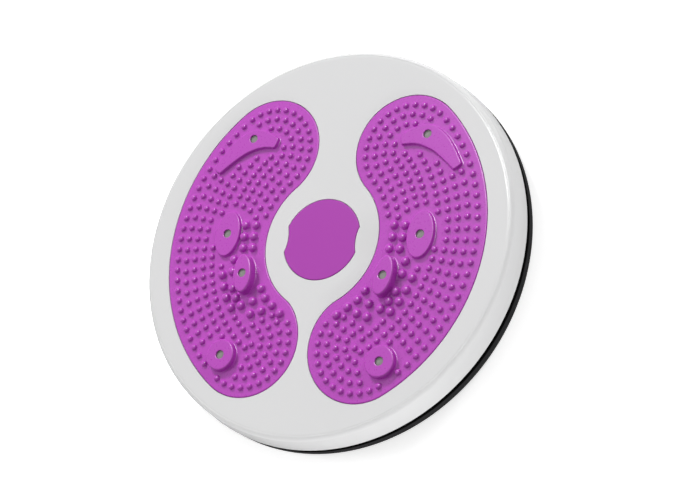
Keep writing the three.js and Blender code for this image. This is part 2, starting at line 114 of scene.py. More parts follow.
def skin(bm, rings):
    """Quads between rings that have the same number of vertices."""
    for low, high in zip(rings, rings[1:]):
        for i in range(len(low)):
            j = (i + 1) % len(low)
            corners = list(dict.fromkeys([low[i], low[j], high[j], high[i]]))
            if len(corners) > 2:
                bm.faces.new(corners)


def turned(bm, section, sides, closed=True):
    """Turns a section of radius and height, listed anticlockwise, about the upright axis."""
    rings = []
    for radius, height in section:
        if radius < 1e-6:
            rings.append([bm.verts.new((0, 0, height * MM))] * sides)
        else:
            rings.append(ring_of(bm, circle(radius, sides), height))
    skin(bm, rings + rings[:1] if closed else rings)
    return rings


def groove(side, steps=14):
    """Section points of a ball groove: side 1 is the upper track and -1 the lower one."""
    half = math.asin(track_shoulder / groove_radius)
    first, last = (math.pi - half, half) if side > 0 else (-half, half - math.pi)
    turns = [first + (last - first) * i / steps for i in range(steps + 1)]
    return [(track_radius + groove_radius * math.cos(a), ball_height + groove_radius * math.sin(a), 0)
            for a in turns]


def piece(name, bm, material, body, nodes, crisp=35):
    """Makes a finished piece of a bmesh, with its faces outward and its sharp edges kept."""
    bmesh.ops.remove_doubles(bm, verts=bm.verts, dist=1e-7)
    bmesh.ops.recalc_face_normals(bm, faces=bm.faces)
    mesh = bpy.data.meshes.new(name)
    bm.to_mesh(mesh)
    bm.free()
    return dressed(name, mesh, material, body, nodes, crisp)


def dressed(name, mesh, material, body, nodes, crisp=35):
    """Gives a finished mesh its material and its place: the body it rides on and the nodes it stands for."""
    mesh.name = name
    mesh.materials.clear()
    mesh.materials.append(material)
    mesh.shade_smooth()
    mesh.set_sharp_from_angle(angle=math.radians(crisp))
    obj = bpy.data.objects.new(name, mesh)
    bpy.context.scene.collection.objects.link(obj)
    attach(obj, body)
    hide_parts(*nodes)
    return obj


def linear(red, green, blue):
    """A colour given as it looks on screen, 0 to 255, for a shader."""
    return [((c / 255 + 0.055) / 1.055) ** 2.4 if c > 10 else c / 255 / 12.92
            for c in (red, green, blue)] + [1.0]


def moulded(name, colour, tint, shine, grain, depth, patch=18.0, metallic=0.0, specular=0.5):
    """A moulded or machined face: a colour that drifts to a tint, gloss that varies, and a fine grain."""
    material = bpy.data.materials.new(name)
    material.use_nodes = True
    nodes, links = material.node_tree.nodes, material.node_tree.links
    shader = nodes["Principled BSDF"]
    shader.inputs["Metallic"].default_value = metallic
    shader.inputs["Specular IOR Level"].default_value = specular
    place = nodes.new("ShaderNodeTexCoord")
    drift = nodes.new("ShaderNodeTexNoise")
    drift.inputs["Scale"].default_value = patch
    drift.inputs["Detail"].default_value = 3.0
    links.new(place.outputs["Object"], drift.inputs["Vector"])
    colours = nodes.new("ShaderNodeMix")
    colours.data_type = "RGBA"
    colours.inputs["A"].default_value = linear(*colour)
    colours.inputs["B"].default_value = linear(*tint)
    links.new(drift.outputs["Fac"], colours.inputs["Factor"])
    links.new(colours.outputs["Result"], shader.inputs["Base Color"])
    fine = nodes.new("ShaderNodeTexNoise")
    fine.inputs["Scale"].default_value = grain
    fine.inputs["Detail"].default_value = 2.0
    links.new(place.outputs["Object"], fine.inputs["Vector"])
    gloss = nodes.new("ShaderNodeMapRange")
    gloss.inputs["From Min"].default_value = 0.3
    gloss.inputs["From Max"].default_value = 0.7
    gloss.inputs["To Min"].default_value = shine[0]
    gloss.inputs["To Max"].default_value = shine[1]
    links.new(fine.outputs["Fac"], gloss.inputs["Value"])
    links.new(gloss.outputs["Result"], shader.inputs["Roughness"])
    bump = nodes.new("ShaderNodeBump")
    bump.inputs["Strength"].default_value = 0.35
    bump.inputs["Distance"].default_value = depth * MM
    links.new(fine.outputs["Fac"], bump.inputs["Height"])
    links.new(bump.outputs["Normal"], shader.inputs["Normal"])
    return material


def tree_of(name, inputs):
    """An empty Geometry Nodes tree with named inputs and one geometry output."""
    tree = bpy.data.node_groups.new(name, "GeometryNodeTree")
    tree.interface.new_socket("Geometry", in_out="OUTPUT", socket_type="NodeSocketGeometry")
    tree.interface.new_socket("Geometry", in_out="INPUT", socket_type="NodeSocketGeometry")
    for label, kind in inputs:
        tree.interface.new_socket(label, in_out="INPUT", socket_type=kind)
    return tree, tree.nodes.new("NodeGroupInput"), tree.nodes.new("NodeGroupOutput")


def grown(name, bm, tree, values):
    """The mesh that a tree makes of a bmesh, with the tree's inputs set by their identifiers."""
    mesh = bpy.data.meshes.new(name)
    bm.to_mesh(mesh)
    bm.free()
    obj = bpy.data.objects.new(name, mesh)
    bpy.context.scene.collection.objects.link(obj)
    modifier = obj.modifiers.new(name, "NODES")
    modifier.node_group = tree
    for item in tree.interface.items_tree:
        if item.item_type == "SOCKET" and item.in_out == "INPUT" and item.name in values:
            modifier[item.identifier] = values[item.name]
    bpy.context.view_layer.update()
    seen = obj.evaluated_get(bpy.context.evaluated_depsgraph_get())
    result = bpy.data.meshes.new_from_object(seen)
    obj.modifiers.remove(modifier)
    bpy.data.objects.remove(obj)
    return result


# Repeats a shape about the upright axis
ring_tree, entry, leave = tree_of("ring_of_copies", [
    ("Copies", "NodeSocketInt"), ("First Angle", "NodeSocketFloat"), ("Finish", "NodeSocketMaterial")])
spots = ring_tree.nodes.new("GeometryNodePoints")
number = ring_tree.nodes.new("GeometryNodeInputIndex")
share = ring_tree.nodes.new("ShaderNodeMath")
share.operation = "DIVIDE"
share.inputs[0].default_value = 2 * math.pi
angle = ring_tree.nodes.new("ShaderNodeMath")
angle.operation = "MULTIPLY_ADD"
turn = ring_tree.nodes.new("ShaderNodeCombineXYZ")
copies = ring_tree.nodes.new("GeometryNodeInstanceOnPoints")
real = ring_tree.nodes.new("GeometryNodeRealizeInstances")
paint = ring_tree.nodes.new("GeometryNodeSetMaterial")
for source, target in [
    (entry.outputs["Copies"], spots.inputs["Count"]),
    (entry.outputs["Copies"], share.inputs[1]),
    (number.outputs["Index"], angle.inputs[0]),
    (share.outputs["Value"], angle.inputs[1]),
    (entry.outputs["First Angle"], angle.inputs[2]),
    (angle.outputs["Value"], turn.inputs["Z"]),
    (spots.outputs["Points"], copies.inputs["Points"]),
    (entry.outputs["Geometry"], copies.inputs["Instance"]),
    (turn.outputs["Vector"], copies.inputs["Rotation"]),
    (copies.outputs["Instances"], real.inputs["Geometry"]),
    (real.outputs["Geometry"], paint.inputs["Geometry"]),
    (entry.outputs["Finish"], paint.inputs["Material"]),
    (paint.outputs["Geometry"], leave.inputs["Geometry"]),
]:
    ring_tree.links.new(source, target)


def rib(inner, outer, wall, low, high, soft=0.5):
    """A radial bar along X with its lower edges rounded."""
    bm = bmesh.new()
    half = wall / 2
    shape = rounded([(-half, low, soft), (half, low, soft), (half, high, 0), (-half, high, 0)], steps=3)
    ends = []
    for x in (inner, outer):
        ends.append([bm.verts.new((x * MM, y * MM, z * MM)) for y, z in shape])
    skin(bm, ends)
    for end in ends:
        bm.faces.new(end)
    bmesh.ops.recalc_face_normals(bm, faces=bm.faces)
    return bm


black_plastic = moulded("black_plastic", (46, 46, 47), (37, 37, 38), (0.6, 0.75), 900.0, 0.1, specular=0.05)
nodes, links = black_plastic.node_tree.nodes, black_plastic.node_tree.links
shader = nodes["Principled BSDF"]
place = nodes.new("ShaderNodeTexCoord")
axes = nodes.new("ShaderNodeSeparateXYZ")
# Painted shade: faces from just under the rim's top upward get a near-black colour, standing in for the
# shade in the gap under the skirt.
shade_band = nodes.new("ShaderNodeMapRange")
shade_band.inputs["From Min"].default_value = (rim_top - 0.9) * MM
shade_band.inputs["From Max"].default_value = (rim_top - 0.4) * MM
painted_shade = nodes.new("ShaderNodeMix")
painted_shade.data_type = "RGBA"
painted_shade.inputs["B"].default_value = linear(4, 4, 4)
links.new(place.outputs["Object"], axes.inputs["Vector"])
links.new(axes.outputs["Z"], shade_band.inputs["Value"])
links.new(shade_band.outputs["Result"], painted_shade.inputs["Factor"])
links.new(shader.inputs["Base Color"].links[0].from_socket, painted_shade.inputs["A"])
links.new(painted_shade.outputs["Result"], shader.inputs["Base Color"])
track_inner, track_outer = track_radius - track_half, track_radius + track_half
base = bmesh.new()
turned(base, rounded([
    (hub_bore, panel_under, 0), (track_inner + track_wall, panel_under, 1),
    (track_inner + track_wall, track_floor, 0.6), (track_outer - track_wall, track_floor, 0.6),
    (track_outer - track_wall, panel_under, 1),
    (disc_radius - rim_wall, panel_under, 0.8), (disc_radius - rim_wall, rim_foot, 0.5),
    (disc_radius, rim_foot, 0.3), (disc_radius, rim_top, 0.5), (neck_radius, rim_top, 0.8),
    (neck_radius, neck_top, 0.6), (neck_radius - neck_wall, neck_top, 0.6),
    (neck_radius - neck_wall, rim_top, 0.8), (track_outer, rim_top, 0.8),
    (track_outer, ball_height - track_shoulder, 0),
    *groove(-1), (track_inner, ball_height - track_shoulder, 0), (track_inner, rim_top, 0.8),
    (hub_radius, rim_top, 0.8), (hub_radius, hub_top, 0.5), (hub_bore, hub_top, 0.4)]), base_sides)
rib_bar = rib(hub_radius + 1, disc_radius - 2, base_rib_wall, base_rib_under, panel_under + rib_root)
ribs = grown("base_ribs", rib_bar, ring_tree,
             {"Copies": base_ribs, "First Angle": math.pi / base_ribs, "Finish": black_plastic})
seat = bmesh.new()
wall = rounded([
    (seat_bore, foot_drop, 0.3), (seat_edge, foot_drop, 0.5), (seat_edge, panel_under + rib_root, 0),
    (0, panel_under + rib_root, 0), (0, foot_seat, 0), (seat_bore, foot_seat, 0)], steps=3)
turned(seat, wall, 48)
bmesh.ops.recalc_face_normals(seat, faces=seat.faces)
bmesh.ops.translate(seat, verts=seat.verts, vec=(foot_ring * MM, 0, 0))
seats = grown("foot_seats", seat, ring_tree, {"Copies": feet, "First Angle": 0.0, "Finish": black_plastic})
bmesh.ops.remove_doubles(base, verts=base.verts, dist=1e-7)
base.from_mesh(ribs)
base.from_mesh(seats)
piece("base_moulding", base, black_plastic, "base", ["base_plate"])

# Rubber feet

# Six round feet of black rubber, pressed into seats under the rim. Each has a raised grip ring on its sole,
# and the rubber is matt and slightly dusty.
foot_height = 4.6
grip_ring, grip_depth = 5.9, 0.7
foot_rubber = moulded("foot_rubber", (26, 26, 27), (36, 36, 36), (0.75, 0.92), 1400.0, 0.12)
foot = bmesh.new()
turned(foot, rounded([
    (0, grip_depth, 0), (grip_ring - grip_depth, grip_depth, 0.3), (grip_ring, 0, 0.3),
    (foot_radius - 0.3, 0, 0.7), (foot_radius, 2.4, 0.4), (foot_radius, foot_height, 0.3),
    (0, foot_height, 0)], steps=3), 48)
bmesh.ops.recalc_face_normals(foot, faces=foot.faces)
bmesh.ops.translate(foot, verts=foot.verts, vec=(foot_ring * MM, 0, 0))
dressed("rubber_feet", grown("rubber_feet", foot, ring_tree,
        {"Copies": feet, "First Angle": 0.0, "Finish": foot_rubber}),
        foot_rubber, "base", [f"foot_{i + 1}" for i in range(feet)])

# Pivot bush

# A flanged sleeve of white acetal between the base's hub and the platform's boss. It is turned from rod, so
# its faces are smooth and a little waxy.
bush_bore, bush_radius, flange_radius = 9.3, 11.7, 15.5
bush_foot, flange_under, bush_top = 6.9, 23.8, 25.6
acetal = moulded("acetal", (236, 235, 229), (228, 227, 220), (0.3, 0.42), 600.0, 0.02)
bush = bmesh.new()
turned(bush, rounded([
    (bush_bore, bush_foot, 0.2), (bush_radius, bush_foot, 0.3), (bush_radius, flange_under, 0.3),
    (flange_radius, flange_under, 0.3), (flange_radius, bush_top, 0.4), (bush_bore, bush_top, 0.3)],
    steps=3), 72)
piece("flanged_bush", bush, acetal, "base", ["pivot_bush"])

# Ball ring

# Twenty 8 mm steel balls between the two tracks, spaced by a flat nylon cage with a round hole for each.
# The cage is stamped from sheet, and the balls are hardened and polished.
balls = 20
ball_radius = 4.0
cage_half = 7.5
cage_under, cage_top = 15.0, 17.0
cage_play = 0.3
cage_nylon = moulded("cage_nylon", (216, 212, 198), (206, 201, 186), (0.5, 0.62), 800.0, 0.03)
polished_steel = moulded("polished_steel", (196, 198, 202), (186, 188, 193), (0.1, 0.18), 500.0, 0.005,
                         metallic=1.0)


def filled(bm, rings):
    """Fills the flat area between closed rings of vertices, the first round the others."""
    edges = []
    for ring in rings:
        for a, b in zip(ring, ring[1:] + ring[:1]):
            edges.append(bm.edges.get((a, b)) or bm.edges.new((a, b)))
    bmesh.ops.triangle_fill(bm, use_beauty=True, edges=edges)


cage = bmesh.new()
ball_turns = [2 * math.pi * (i + 0.5) / balls for i in range(balls)]
flat_rings = []
for height in (cage_under, cage_top):
    rims = [ring_of(cage, circle(track_radius + side * cage_half, 160), height) for side in (1, -1)]
    holes = [ring_of(cage, circle(ball_radius + cage_play, 28, track_radius * math.cos(a),
                                  track_radius * math.sin(a)), height) for a in ball_turns]
    filled(cage, rims + holes)
    flat_rings.append(rims + holes)
for low, high in zip(*flat_rings):
    skin(cage, [low, high])
piece("ball_cage_ring", cage, cage_nylon, "ball_cage", ["ball_cage"])
ball = bmesh.new()
bmesh.ops.create_uvsphere(ball, u_segments=24, v_segments=14, radius=ball_radius * MM)
bmesh.ops.translate(ball, verts=ball.verts, vec=(track_radius * MM, 0, ball_height * MM))
dressed("steel_balls", grown("steel_balls", ball, ring_tree,
        {"Copies": balls, "First Angle": math.pi / balls, "Finish": polished_steel}),
        polished_steel, "ball_cage", [f"ball_{i + 1:02d}" for i in range(balls)])

# Platform shell

# The white turning platform: one glossy ABS moulding, flat on top with a shallow pocket for each inlay, a
# slight dip round the top, a rounded shoulder and a skirt that flares to the lip. Under it are the upper
# ball track, eight ribs and the pivot boss.
stand_height = 31.0
shell_under = 28.0
lip_height = 12.4
shoulder_round = 4.0
shoulder_centre = (134.1, 27.0)
skirt_inside = [(133.4, shell_under, 2.5), (135.7, 25.6, 1), (137.6, lip_height, 0.4)]
dip = [(134.95, 0.18), (134.7, 0.24), (134.45, 0.2), (134.15, 0.07), (133.85, 0.015), (133.4, 0), (131.0, 0)]
pocket_floor = 29.2
pocket_fit = 0.35
shell_ribs = 8
shell_rib_wall = 2
inner_rib_start, inner_rib_under = 25, 23.0
outer_rib_end, outer_rib_under = 127.8, 25.8
shell_sides = 192
boss_radius, boss_foot = 9, 6.9
screw_hole, screw_hole_top = 2.55, 22.9
pad_reach = 119.6
pad_shift = 0.0635 * pad_reach
pad_outer = 1.0635 * pad_reach
pad_waist = 0.4231 * pad_reach
toe_lobe, toe_angle, toe_corner = 0.3203 * pad_reach, math.radians(46.6), 0.2568 * pad_reach
heel_lobe, heel_angle, heel_corner = 0.3222 * pad_reach, math.radians(-55.2), 0.2173 * pad_reach
badge_radius = 28.6
badge_notch = 28.0
badge_notch_shift = 53.7


def pad_arcs(inset):
    """The right foot pad's outline as six tangent arcs, anticlockwise, drawn in by an inset."""
    def reach(turn_to, radius):
        """The centre of an arc that touches the outer edge at an angle."""
        return Vector(((pad_outer - radius) * math.cos(turn_to), (pad_outer - radius) * math.sin(turn_to)))

    def corner(lobe, lobe_radius, radius, side):
        """The centre of an arc that runs from the waist into a lobe."""
        far, near, span = pad_waist + radius, lobe_radius - radius, lobe.length
        spread = math.acos((span * span + far * far - near * near) / (2 * span * far))
        turn_to = math.atan2(lobe.y, lobe.x) + side * spread
        return Vector((far * math.cos(turn_to), far * math.sin(turn_to)))

    toe, heel = reach(toe_angle, toe_lobe), reach(heel_angle, heel_lobe)
    upper, lower = corner(toe, toe_lobe, toe_corner, 1), corner(heel, heel_lobe, heel_corner, -1)
    toe_end = math.atan2(upper.y - toe.y, upper.x - toe.x) % (2 * math.pi)
    heel_end = math.atan2(lower.y - heel.y, lower.x - heel.x) % (2 * math.pi)
    toe_waist, heel_waist = math.atan2(upper.y, upper.x), math.atan2(lower.y, lower.x)
    middle = Vector((0, 0))
    return [(centre - Vector((pad_shift, 0)), radius, first, last) for centre, radius, first, last in [
        (middle, pad_outer - inset, heel_angle, toe_angle),
        (toe, toe_lobe - inset, toe_angle, toe_end),
        (upper, toe_corner - inset, toe_end, math.pi + toe_waist),
        (middle, pad_waist + inset, toe_waist, heel_waist),
        (lower, heel_corner - inset, math.pi + heel_waist, heel_end),
        (heel, heel_lobe - inset, heel_end, 2 * math.pi + heel_angle)]]


def on_arc(arc, turn_to):
    """The point of an arc at an angle."""
    return arc[0] + arc[1] * Vector((math.cos(turn_to), math.sin(turn_to)))


def pad_outline(inset, steps=(64, 40, 24, 40, 24, 40)):
    """Points round the right foot pad's edge, drawn in by an inset."""
    return [on_arc(arc, arc[2] + (arc[3] - arc[2]) * i / count)
            for arc, count in zip(pad_arcs(inset), steps) for i in range(count)]


def badge_outline(grow):
    """A circle with a shallow notch on its left and right, grown or drawn in."""
    outer, notch = badge_radius + grow, badge_notch - grow
    meet = math.acos((badge_notch_shift ** 2 + outer ** 2 - notch ** 2) / (2 * badge_notch_shift * outer))
    half = math.asin(outer * math.sin(meet) / notch)
    points = []
    for side in (0, math.pi):
        points += [(outer * math.cos(side + meet + (math.pi - 2 * meet) * i / 48),
                    outer * math.sin(side + meet + (math.pi - 2 * meet) * i / 48)) for i in range(48)]
        shift = -badge_notch_shift * math.cos(side)
        points += [(shift + notch * math.cos(side + half - 2 * half * i / 16),
                    notch * math.sin(side + half - 2 * half * i / 16)) for i in range(16)]
    return points


def flipped(points):
    """An outline's mirror image on the disc's other side."""
    return [(-x, y) for x, y in reversed(points)]


white_abs = moulded("white_abs", (221, 221, 221), (217, 217, 218), (0.2, 0.26), 500.0, 0.004, patch=9.0,
                    specular=0.4)
shell = bmesh.new()
shoulder = [(shoulder_centre[0] + shoulder_round * math.cos(math.radians(a)),
             shoulder_centre[1] + shoulder_round * math.sin(math.radians(a)), 0)
            for a in (6, 14, 22, 30, 38, 46, 54, 62, 69, 74)]
rings = turned(shell, rounded([
    (0, screw_hole_top, 0), (screw_hole, screw_hole_top, 0), (screw_hole, boss_foot, 0.2),
    (boss_radius, boss_foot, 0.5), (boss_radius, shell_under, 1.5),
    (track_inner, shell_under, 0.8), (track_inner, ball_height + track_shoulder, 0), *groove(1),
    (track_outer, ball_height + track_shoulder, 0), (track_outer, shell_under, 0.8),
    *skirt_inside, (disc_radius, lip_height, 0.5), *shoulder,
    *[(radius, stand_height - depth, 0) for radius, depth in dip]], closed=False), shell_sides, closed=False)
inlays = [pad_outline, lambda inset: flipped(pad_outline(inset)), lambda inset: badge_outline(-inset)]
top_rings = [rings[-1]]
for outline in inlays:
    steps = [(1.0, stand_height), (0.6, stand_height), (0.42, stand_height - 0.03),
             (pocket_fit + 0.03, stand_height - 0.09), (pocket_fit, stand_height - 0.25),
             (pocket_fit, pocket_floor)]
    walls = [ring_of(shell, outline(-out), height) for out, height in steps]
    skin(shell, walls)
    top_rings.append(walls[0])
    filled(shell, [walls[-1]])
filled(shell, top_rings)
bmesh.ops.remove_doubles(shell, verts=shell.verts, dist=1e-7)
bmesh.ops.recalc_face_normals(shell, faces=shell.faces)
for inner, outer, low in [(inner_rib_start, track_inner + 1, inner_rib_under),
                          (track_outer - 1, outer_rib_end, outer_rib_under)]:
    shell.from_mesh(grown("shell_ribs", rib(inner, outer, shell_rib_wall, low, shell_under + 0.6), ring_tree,
                    {"Copies": shell_ribs, "First Angle": math.pi / shell_ribs, "Finish": white_abs}))
piece("white_platform", shell, white_abs, "platform", ["platform_shell"])

# Foot pads

# Two soft purple pads moulded in thermoplastic rubber and pressed into their pockets, the left one a mirror
# image of the right. Each has a bent toe bar, an egg-shaped form under the ball of the foot, a tall block
# for the arch and a round one for the heel, all with a small window over a magnet.
pad_under = 29.5
pad_top = 31.0
magnet_radius = 5.0
magnet_fit = 0.3
window_radius = 3.0
window_depth = 0.85
toe_magnet = (0.564 * pad_reach, 0.615 * pad_reach)
instep_magnet = (0.618 * pad_reach, 0.027 * pad_reach)
arch_magnet = (0.448 * pad_reach, -0.220 * pad_reach)
heel_magnet = (0.503 * pad_reach, -0.697 * pad_reach)
toe_spine_shares = [
    (0.420, 0.590, 0.036), (0.490, 0.609, 0.054), (0.564, 0.607, 0.066), (0.640, 0.567, 0.061),
    (0.709, 0.500, 0.047), (0.768, 0.430, 0.033)]
nub_radius, nub_height = 2.1, 1.8
large_nub_radius, large_nub_height = 3.0, 2.8
nub_rows, nub_border, nub_row_pitch = 9, 6.8, 6.9
nub_step, border_step = math.radians(4.37), math.radians(3.93)
lobe_pitch_share = 0.9
nub_to_edge, nub_to_form, nub_to_large, nub_to_nub = 0.55, 2.2, 5.7, 4.9
large_nub_shares = [
    (0.444, 0.083), (0.512, 0.083), (0.446, 0.014), (0.508, 0.012), (0.438, -0.053), (0.502, -0.055),
    (0.548, -0.126), (0.542, -0.197), (0.606, -0.219), (0.521, -0.298), (0.582, -0.289), (0.487, -0.355),
    (0.551, -0.355), (0.444, -0.400), (0.508, -0.413), (0.332, -0.296), (0.295, -0.351), (0.370, -0.372),
    (0.240, -0.394), (0.304, -0.428), (0.372, -0.447), (0.181, -0.440)]


def oval(centre, half_x, half_y, tilt, steps=72):
    """An oval whose half widths are shares of the pad's reach."""
    points = []
    for i in range(steps):
        a = 2 * math.pi * i / steps
        x, y = half_x * pad_reach * math.cos(a), half_y * pad_reach * math.sin(a)
        points.append(Vector((centre[0] + x * math.cos(tilt) - y * math.sin(tilt),
                              centre[1] + x * math.sin(tilt) + y * math.cos(tilt))))
    return points


def toe_bar():
    """The bent toe bar: a smooth spine, widened on both sides by its own half width, with round ends."""
    spine = [Vector(p) * pad_reach for p in toe_spine_shares]
    spine = [2 * spine[0] - spine[1]] + spine + [2 * spine[-1] - spine[-2]]
    path = []
    for a, b, c, d in zip(spine, spine[1:], spine[2:], spine[3:]):
        for t in [i / 6 for i in range(6)]:
            path.append(0.5 * (2 * b + (c - a) * t + (2 * a - 5 * b + 4 * c - d) * t * t
                               + (3 * b - a - 3 * c + d) * t ** 3))
    path.append(spine[-2])
    upper, lower = [], []
    for i, at in enumerate(path):
        along = (path[min(i + 1, len(path) - 1)] - path[max(i - 1, 0)]).xy.normalized()
        across = Vector((-along.y, along.x)) * at.z
        upper.append(at.xy + across)
        lower.append(at.xy - across)
    caps = []
    for at, beside in ((path[-1], lower[-1]), (path[0], upper[0])):
        arm = beside - at.xy
        for i in range(1, 8):
            a = math.pi * i / 8
            out, over = 0.6 * math.sin(a) ** 0.6, math.copysign(abs(math.cos(a)) ** 0.7, math.cos(a))
            caps.append(at.xy + Vector((arm.x * over - arm.y * out, arm.x * out + arm.y * over)))
    return lower + caps[:7] + upper[::-1] + caps[7:]


def drawn_in(outline, inset):
    """A dense outline moved inward by an inset, or outward where it is negative."""
    moved = []
    for i, here in enumerate(outline):
        along = (Vector(outline[(i + 1) % len(outline)]) - Vector(outline[i - 1])).normalized()
        moved.append(Vector(here) + Vector((-along.y, along.x)) * inset)
    return moved


# Each form's outline, magnet, rise, edge rounding and the room that nubs leave round it
forms = [
    (toe_bar(), toe_magnet, 2.3, 0.7, 0.5),
    (oval(instep_magnet, 0.082, 0.138, 0), instep_magnet, 2.4, 0.7, 0.5),
    (oval(arch_magnet, 0.061, 0.117, math.radians(-7)), arch_magnet, 6.2, 1.3, 10.0),
    (oval(heel_magnet, 0.090, 0.092, 0), heel_magnet, 3.8, 1.0, 0.5)]
purple_rubber = moulded("purple_rubber", (192, 67, 195), (186, 61, 189), (0.26, 0.33), 700.0, 0.08)
pad = bmesh.new()
edge = [ring_of(pad, pad_outline(inset), height) for inset, height in [
    (0.3, pad_under), (0, pad_under + 0.3), (0, pad_top - 0.6), (0.08, pad_top - 0.3),
    (0.3, pad_top - 0.08), (0.6, pad_top), (1.1, pad_top)]]
skin(pad, edge)
flat, sole = [edge[-1]], [edge[0]]
for outline, (x, y), rise, soft, clear in forms:
    top = pad_top + rise
    steps = [(-0.9, pad_top), (-0.5, pad_top), (-0.18, pad_top + 0.12), (0, pad_top + 0.45)]
    steps += [(0.2 + soft * (1 - math.cos(a)), top - soft + soft * math.sin(a))
              for a in [math.pi / 2 * i / 6 for i in range(7)]] + [(0.2 + soft + 0.5, top)]
    wall = [ring_of(pad, drawn_in(outline, inset), height) for inset, height in steps]
    roof = top - window_depth
    window = [ring_of(pad, circle(radius, 32, x, y), height) for radius, height in [
        (window_radius + 0.7, top), (window_radius + 0.3, top), (window_radius + 0.1, top - 0.08),
        (window_radius, top - 0.3), (window_radius, roof), (magnet_radius + magnet_fit, roof),
        (magnet_radius + magnet_fit, pad_under)]]
    skin(pad, wall)
    skin(pad, window)
    filled(pad, [wall[-1], window[0]])
    flat.append(wall[0])
    sole.append(window[-1])
filled(pad, flat)
filled(pad, sole)
bmesh.ops.remove_doubles(pad, verts=pad.verts, dist=1e-7)
bmesh.ops.recalc_face_normals(pad, faces=pad.faces)


def distance_to(point, outline):
    """The shortest way from a point to a closed outline, negative inside it."""
    nearest, inside = math.inf, False
    for i, a in enumerate(outline):
        b = outline[(i + 1) % len(outline)]
        a, b = Vector(a), Vector(b)
        side = b - a
        part = max(0, min(1, (point - a).dot(side) / side.length_squared))
        nearest = min(nearest, (point - a - side * part).length)
        if (a.y > point.y) != (b.y > point.y) and point.x < a.x + side.x * (point.y - a.y) / side.y:
            inside = not inside
    return -nearest if inside else nearest


def nub_places():
    """Small nubs stand in rows that follow the pad's edge, in step with each other along the outer side."""
    pad_edge = pad_outline(0, (24, 14, 8, 12, 8, 14))
    large = [Vector(p) * pad_reach for p in large_nub_shares]
    shapes = [(outline[::2], clear) for outline, magnet, rise, soft, clear in forms]
    places = []
    for row in range(nub_rows):
        inset = nub_border + nub_row_pitch * row
        arcs = pad_arcs(inset)
        pitch = (arcs[0][1] - pad_shift) * (nub_step if row else border_step)
        for order, along in (((0, 1, 2, 3), 0.0), ((0, 5, 4, 3), pitch)):
            for which in order:
                centre, radius, first, last = arcs[which]
                if order[1] == 5:
                    first, last = last, first
                if which == 0:
                    first = 0.0
                length = abs(last - first) * max(radius, 0)
                while along < length:
                    spot = on_arc(arcs[which], first + (last - first) * along / length)
                    if (-distance_to(spot, pad_edge) > inset - nub_to_edge
                            and all(distance_to(spot, shape) > nub_to_form + clear
                                    for shape, clear in shapes)
                            and all((spot - other).length > nub_to_large for other in large)
                            and all((spot - other).length > nub_to_nub for other in places)):
                        places.append(spot)
                    along += pitch if which == 0 else lobe_pitch_share * pitch
                along -= length
    return places


# Sets a shape on every point of another object, each at its own size
scatter_tree, entry, leave = tree_of("copies_at_places", [
    ("Places", "NodeSocketObject"), ("Finish", "NodeSocketMaterial")])
spots = scatter_tree.nodes.new("GeometryNodeObjectInfo")
sizes = scatter_tree.nodes.new("GeometryNodeInputNamedAttribute")
sizes.data_type = "FLOAT_VECTOR"
sizes.inputs["Name"].default_value = "size"
copies = scatter_tree.nodes.new("GeometryNodeInstanceOnPoints")
real = scatter_tree.nodes.new("GeometryNodeRealizeInstances")
paint = scatter_tree.nodes.new("GeometryNodeSetMaterial")
for source, target in [
    (entry.outputs["Places"], spots.inputs["Object"]),
    (spots.outputs["Geometry"], copies.inputs["Points"]),
    (entry.outputs["Geometry"], copies.inputs["Instance"]),
    (sizes.outputs["Attribute"], copies.inputs["Scale"]),
    (copies.outputs["Instances"], real.inputs["Geometry"]),
    (real.outputs["Geometry"], paint.inputs["Geometry"]),
    (entry.outputs["Finish"], paint.inputs["Material"]),
    (paint.outputs["Geometry"], leave.inputs["Geometry"]),
]:
    scatter_tree.links.new(source, target)


def scattered(name, bm, places, material):
    """Copies of a shape at places given as x, y, z and a size along each axis, in millimetres."""
    mesh = bpy.data.meshes.new("places")
    mesh.from_pydata([[c * MM for c in at] for at, size in places], [], [])
    sizes = mesh.attributes.new("size", "FLOAT_VECTOR", "POINT")
    for i, (at, size) in enumerate(places):
        sizes.data[i].vector = size
    holder = bpy.data.objects.new("places", mesh)
    bpy.context.scene.collection.objects.link(holder)
    result = grown(name, bm, scatter_tree, {"Places": holder, "Finish": material})
    bpy.data.objects.remove(holder)
    return result


nub = bmesh.new()
turned(nub, [(0, -0.3), (1.2, -0.3), (1.2, -0.04), (1.06, 0.06), (1.0, 0.24), (0.93, 0.52),
             (0.8, 0.78), (0.58, 0.93), (0.3, 0.99), (0, 1.0)], 14)
bmesh.ops.recalc_face_normals(nub, faces=nub.faces)
small = [((p.x, p.y, pad_top), (nub_radius, nub_radius, nub_height)) for p in nub_places()]
large = [((x * pad_reach, y * pad_reach, pad_top), (large_nub_radius, large_nub_radius, large_nub_height))
         for x, y in large_nub_shares]
pad.from_mesh(scattered("nubs", nub, small + large, purple_rubber))
left_pad = pad.copy()
bmesh.ops.scale(left_pad, verts=left_pad.verts, vec=(-1, 1, 1))
bmesh.ops.reverse_faces(left_pad, faces=left_pad.faces)
piece("right_pad", pad, purple_rubber, "platform", ["right_foot_pad"])
piece("left_pad", left_pad, purple_rubber, "platform", ["left_foot_pad"])

# Magnets

